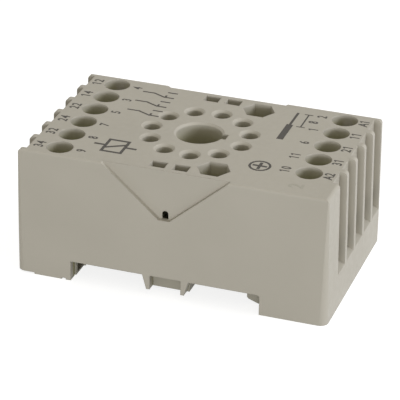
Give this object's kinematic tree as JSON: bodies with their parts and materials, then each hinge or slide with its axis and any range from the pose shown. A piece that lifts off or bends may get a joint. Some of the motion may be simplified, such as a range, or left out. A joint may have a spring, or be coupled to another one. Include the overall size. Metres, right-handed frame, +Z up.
{
  "type": "relay socket",
  "caption": "Rectangular relay socket with a ring of pin holes round a keyed centre hole, screw clamp terminals at both ends and a sprung seat for a top-hat rail underneath.",
  "frame": {"origin": "middle of the footprint, on the plane that the feet stand on", "axes": "+X along the body towards the end with fewer terminals, where the keyway points; +Z up, out of the key hole; +Y across the body, away from the end place that has no terminal"},
  "size_m": [0.0612, 0.0376, 0.0258],
  "materials": {
    "housing_plastic": "fine moulded grain, warm light grey",
    "base_plastic": "moulded, warm light grey",
    "latch_plastic": "moulded, warm light grey",
    "spring_steel": "bright drawn wire",
    "contact_brass": "stamped, lightly dulled",
    "clamp_steel": "zinc plated",
    "screw_steel": "zinc plated"
  },
  "bodies": {
    "socket": {"housing": "housing_plastic", "base": "base_plastic", "latch_spring": "spring_steel", "contact_1": "contact_brass", "contact_2": "contact_brass", "contact_3": "contact_brass", "contact_4": "contact_brass", "contact_5": "contact_brass", "contact_6": "contact_brass", "contact_7": "contact_brass", "contact_8": "contact_brass", "contact_9": "contact_brass", "contact_10": "contact_brass", "contact_11": "contact_brass"},
    "rail_latch": {"rail_latch": "latch_plastic"},
    "screw_1": {"screw_1": "screw_steel"},
    "clamp_1": {"clamp_1": "clamp_steel"},
    "screw_2": {"screw_2": "screw_steel"},
    "clamp_2": {"clamp_2": "clamp_steel"},
    "screw_3": {"screw_3": "screw_steel"},
    "clamp_3": {"clamp_3": "clamp_steel"},
    "screw_4": {"screw_4": "screw_steel"},
    "clamp_4": {"clamp_4": "clamp_steel"},
    "screw_5": {"screw_5": "screw_steel"},
    "clamp_5": {"clamp_5": "clamp_steel"},
    "screw_6": {"screw_6": "screw_steel"},
    "clamp_6": {"clamp_6": "clamp_steel"},
    "screw_7": {"screw_7": "screw_steel"},
    "clamp_7": {"clamp_7": "clamp_steel"},
    "screw_8": {"screw_8": "screw_steel"},
    "clamp_8": {"clamp_8": "clamp_steel"},
    "screw_9": {"screw_9": "screw_steel"},
    "clamp_9": {"clamp_9": "clamp_steel"},
    "screw_10": {"screw_10": "screw_steel"},
    "clamp_10": {"clamp_10": "clamp_steel"},
    "screw_11": {"screw_11": "screw_steel"},
    "clamp_11": {"clamp_11": "clamp_steel"}
  },
  "joints": [
    {"name": "screw_turn_1", "type": "hinge", "parent": "socket", "child": "screw_1", "pos_m": [0.02351, 0.00904, 0.02], "axis": [0, 0, -1], "range_deg": [0, 2304.1]},
    {"name": "clamp_lift_1", "type": "slide", "parent": "socket", "child": "clamp_1", "axis": [0, 0, 1], "range_m": [0, 0.0032]},
    {"name": "screw_turn_2", "type": "hinge", "parent": "socket", "child": "screw_2", "pos_m": [0.02351, 0.01507, 0.02], "axis": [0, 0, -1], "range_deg": [0, 2304.1]},
    {"name": "clamp_lift_2", "type": "slide", "parent": "socket", "child": "clamp_2", "axis": [0, 0, 1], "range_m": [0, 0.0032]},
    {"name": "screw_turn_3", "type": "hinge", "parent": "socket", "child": "screw_3", "pos_m": [-0.02305, 0.00904, 0.02], "axis": [0, 0, -1], "range_deg": [0, 2304.1]},
    {"name": "clamp_lift_3", "type": "slide", "parent": "socket", "child": "clamp_3", "axis": [0, 0, 1], "range_m": [0, 0.0032]},
    {"name": "screw_turn_4", "type": "hinge", "parent": "socket", "child": "screw_4", "pos_m": [-0.02305, 0.01507, 0.02], "axis": [0, 0, -1], "range_deg": [0, 2304.1]},
    {"name": "clamp_lift_4", "type": "slide", "parent": "socket", "child": "clamp_4", "axis": [0, 0, 1], "range_m": [0, 0.0032]},
    {"name": "screw_turn_5", "type": "hinge", "parent": "socket", "child": "screw_5", "pos_m": [-0.02305, 0.00301, 0.02], "axis": [0, 0, -1], "range_deg": [0, 2304.1]},
    {"name": "clamp_lift_5", "type": "slide", "parent": "socket", "child": "clamp_5", "axis": [0, 0, 1], "range_m": [0, 0.0032]},
    {"name": "screw_turn_6", "type": "hinge", "parent": "socket", "child": "screw_6", "pos_m": [0.02351, 0.00301, 0.02], "axis": [0, 0, -1], "range_deg": [0, 2304.1]},
    {"name": "clamp_lift_6", "type": "slide", "parent": "socket", "child": "clamp_6", "axis": [0, 0, 1], "range_m": [0, 0.0032]},
    {"name": "screw_turn_7", "type": "hinge", "parent": "socket", "child": "screw_7", "pos_m": [-0.02305, -0.00301, 0.02], "axis": [0, 0, -1], "range_deg": [0, 2304.1]},
    {"name": "clamp_lift_7", "type": "slide", "parent": "socket", "child": "clamp_7", "axis": [0, 0, 1], "range_m": [0, 0.0032]},
    {"name": "screw_turn_8", "type": "hinge", "parent": "socket", "child": "screw_8", "pos_m": [-0.02305, -0.00904, 0.02], "axis": [0, 0, -1], "range_deg": [0, 2304.1]},
    {"name": "clamp_lift_8", "type": "slide", "parent": "socket", "child": "clamp_8", "axis": [0, 0, 1], "range_m": [0, 0.0032]},
    {"name": "screw_turn_9", "type": "hinge", "parent": "socket", "child": "screw_9", "pos_m": [-0.02305, -0.01507, 0.02], "axis": [0, 0, -1], "range_deg": [0, 2304.1]},
    {"name": "clamp_lift_9", "type": "slide", "parent": "socket", "child": "clamp_9", "axis": [0, 0, 1], "range_m": [0, 0.0032]},
    {"name": "screw_turn_10", "type": "hinge", "parent": "socket", "child": "screw_10", "pos_m": [0.02351, -0.00904, 0.02], "axis": [0, 0, -1], "range_deg": [0, 2304.1]},
    {"name": "clamp_lift_10", "type": "slide", "parent": "socket", "child": "clamp_10", "axis": [0, 0, 1], "range_m": [0, 0.0032]},
    {"name": "screw_turn_11", "type": "hinge", "parent": "socket", "child": "screw_11", "pos_m": [0.02351, -0.00301, 0.02], "axis": [0, 0, -1], "range_deg": [0, 2304.1]},
    {"name": "clamp_lift_11", "type": "slide", "parent": "socket", "child": "clamp_11", "axis": [0, 0, 1], "range_m": [0, 0.0032]},
    {"name": "latch_slide", "type": "slide", "parent": "socket", "child": "rail_latch", "axis": [-1, 0, 0], "range_m": [0, 0.0022], "stiffness_N_per_m": 4400, "deforming": ["latch_spring"]}
  ],
  "couplings": [
    {"joint": "screw_turn_1", "follows": "clamp_lift_1", "rad_per_m": 12566},
    {"joint": "screw_turn_2", "follows": "clamp_lift_2", "rad_per_m": 12566},
    {"joint": "screw_turn_3", "follows": "clamp_lift_3", "rad_per_m": 12566},
    {"joint": "screw_turn_4", "follows": "clamp_lift_4", "rad_per_m": 12566},
    {"joint": "screw_turn_5", "follows": "clamp_lift_5", "rad_per_m": 12566},
    {"joint": "screw_turn_6", "follows": "clamp_lift_6", "rad_per_m": 12566},
    {"joint": "screw_turn_7", "follows": "clamp_lift_7", "rad_per_m": 12566},
    {"joint": "screw_turn_8", "follows": "clamp_lift_8", "rad_per_m": 12566},
    {"joint": "screw_turn_9", "follows": "clamp_lift_9", "rad_per_m": 12566},
    {"joint": "screw_turn_10", "follows": "clamp_lift_10", "rad_per_m": 12566},
    {"joint": "screw_turn_11", "follows": "clamp_lift_11", "rad_per_m": 12566}
  ]
}
